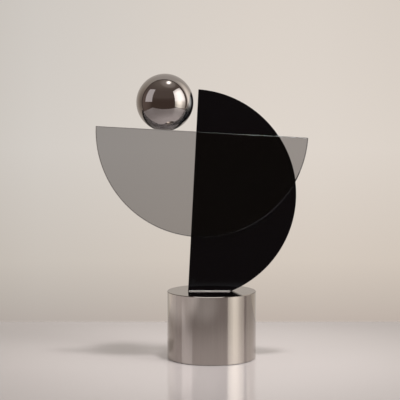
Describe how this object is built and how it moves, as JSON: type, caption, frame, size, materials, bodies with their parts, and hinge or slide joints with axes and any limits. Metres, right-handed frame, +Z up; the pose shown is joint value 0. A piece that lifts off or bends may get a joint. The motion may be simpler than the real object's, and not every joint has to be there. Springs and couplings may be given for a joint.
{
  "type": "geometric table ornament",
  "caption": "Decorative table ornament: a black half-disc plate stands on a round steel drum, with a smoke-grey half-disc glued across its front and a mirror ball on top.",
  "frame": {"origin": "centre of the steel drum's flat underside, where the ornament stands", "axes": "+Z up, +X to the right seen from the front, -Y towards the viewer: the grey plate is on the front of the black one"},
  "size_m": [0.2198, 0.0936, 0.2985],
  "materials": {
    "drum_steel": "polished stainless steel, a mirror top and a fine upright grain on the side",
    "black_crystal": "opaque black crystal, polished faces, ground lower edge",
    "smoke_crystal": "see-through smoke-grey crystal, polished faces and edges",
    "ball_steel": "mirror-polished stainless steel"
  },
  "bodies": {
    "root": {"base_drum": "drum_steel", "black_half_disc": "black_crystal", "grey_half_disc": "smoke_crystal", "ball": "ball_steel"}
  },
  "joints": []
}
